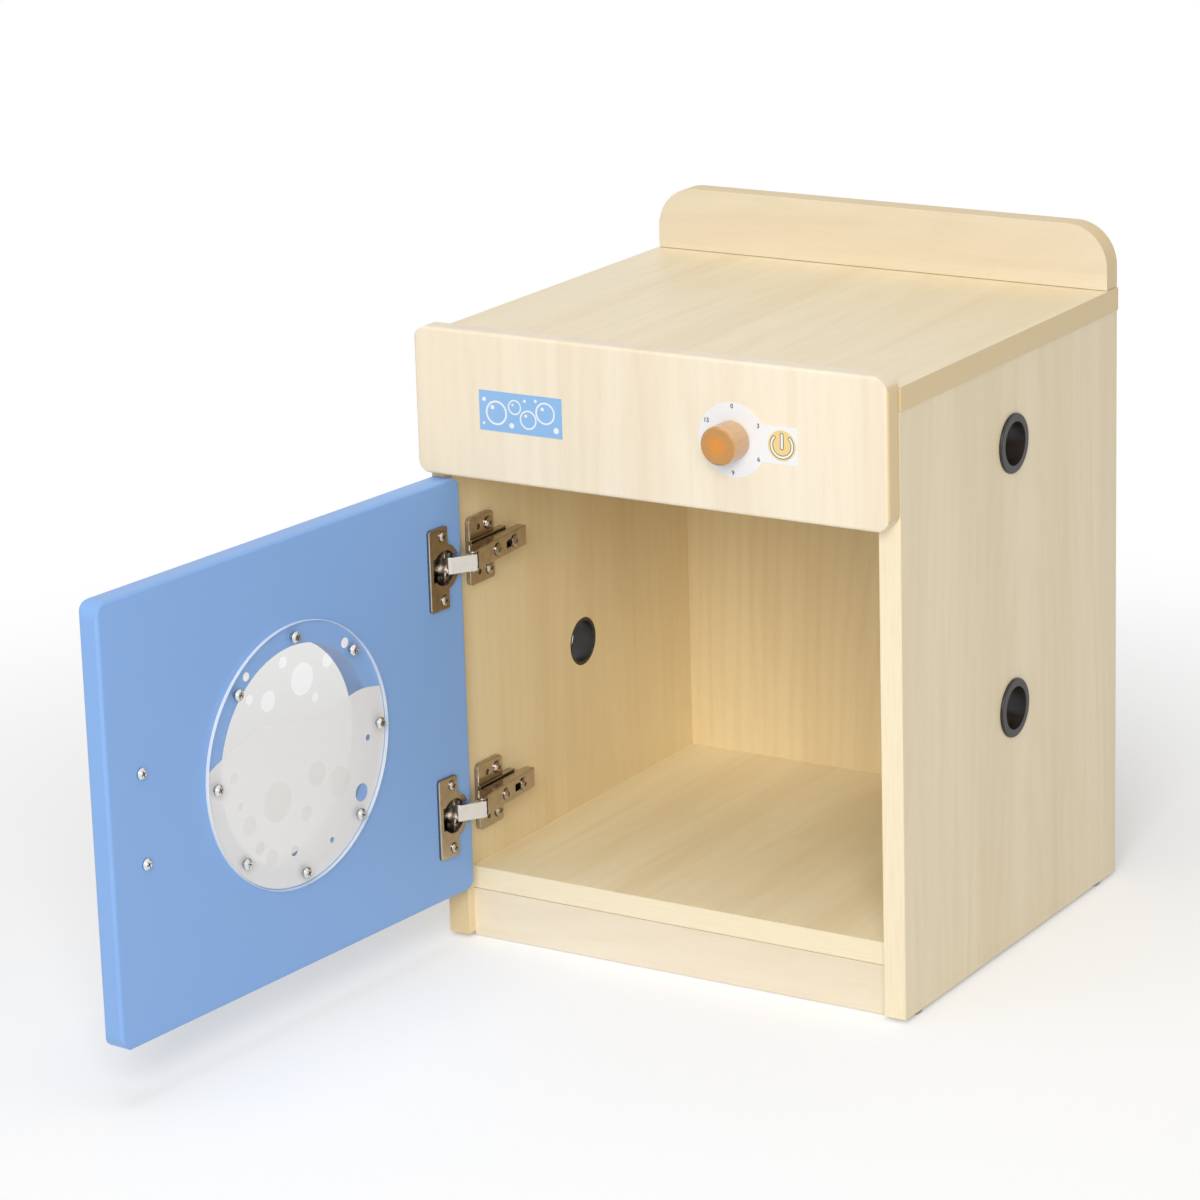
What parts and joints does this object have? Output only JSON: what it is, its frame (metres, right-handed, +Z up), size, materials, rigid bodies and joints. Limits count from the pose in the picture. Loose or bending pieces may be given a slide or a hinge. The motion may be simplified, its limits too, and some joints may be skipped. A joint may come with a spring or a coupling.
{
  "type": "toy washing machine",
  "caption": "Child-size wooden play washing machine: an open board cabinet with a round-window door on cup hinges and a turning programme knob.",
  "frame": {"origin": "on the floor, at the middle of the footprint of the whole object with its door open", "axes": "+X to the right seen from the front, +Y from the front towards the back rail, +Z up"},
  "size_m": [0.4054, 0.6787, 0.4775],
  "materials": {
    "front_laminate": "satin melamine laminate with fine maple grain",
    "side_laminate": "satin melamine laminate with fine maple grain",
    "inside_laminate": "satin melamine laminate, darker tan inside",
    "top_laminate": "satin melamine laminate, slightly glossy",
    "blue_laminate": "satin light blue laminate",
    "beech": "fine sanded, oiled",
    "knob_wood": "sanded, warm orange stain on the front",
    "black_plastic": "moulded, satin gloss",
    "grey_plastic": "moulded, matte",
    "nickel_steel": "nickel plated pressed steel",
    "bright_steel": "bright nickel plated pressed steel",
    "screw_steel": "zinc plated",
    "clear_pane": "clear sheet, printed white on the outside",
    "blue_label": "printed label, light blue with white bubbles",
    "white_label": "printed label, white disc with numbers and a yellow spot"
  },
  "bodies": {
    "cabinet": {"left_side_panel": "inside_laminate", "right_side_panel": "side_laminate", "back_panel": "inside_laminate", "floor_board": "inside_laminate", "plinth": "front_laminate", "worktop": "top_laminate", "back_rail": "front_laminate", "front_board": "front_laminate", "dowels": "beech", "hole_rings": "black_plastic", "glides": "grey_plastic", "hinge_plates": "nickel_steel", "plate_screws": "screw_steel", "hinge_arms": "nickel_steel", "arm_screws": "screw_steel", "arm_pins": "nickel_steel", "drawer_print": "blue_label", "dial_print": "white_label"},
    "inner_link": {"inner_links": "nickel_steel"},
    "door": {"door_panel": "blue_laminate", "window_pane": "clear_pane", "window_screws": "screw_steel", "hinge_cups": "nickel_steel", "cup_screws": "screw_steel", "cup_pins": "nickel_steel", "cup_studs": "nickel_steel", "door_handle": "beech", "handle_screws": "screw_steel"},
    "outer_link": {"outer_links": "bright_steel"},
    "knob": {"knob": "knob_wood", "knob_screw": "screw_steel", "knob_washer": "screw_steel"}
  },
  "joints": [
    {"name": "inner_link_pivot", "type": "hinge", "parent": "cabinet", "child": "inner_link", "pos_m": [-0.13171, 0.02229, 0.188], "axis": [0, 0, 1], "range_deg": [-35.3, 1.5]},
    {"name": "door_pivot", "type": "hinge", "parent": "inner_link", "child": "door", "pos_m": [-0.13936, 0.00595, 0.188], "axis": [0, 0, 1], "range_deg": [-5.2, 130.08]},
    {"name": "outer_link_pivot", "type": "hinge", "parent": "cabinet", "child": "outer_link", "pos_m": [-0.12731, 0.01686, 0.188], "axis": [0, 0, 1], "range_deg": [-35, 1.5]},
    {"name": "knob_turn", "type": "hinge", "parent": "cabinet", "child": "knob", "pos_m": [0.0872, -0.00665, 0.3888], "axis": [0, 1, 0], "continuous": true}
  ],
  "couplings": [
    {"joint": "inner_link_pivot", "follows": "door_pivot", "ratio": -0.26968},
    {"joint": "outer_link_pivot", "follows": "door_pivot", "ratio": -0.26737}
  ]
}
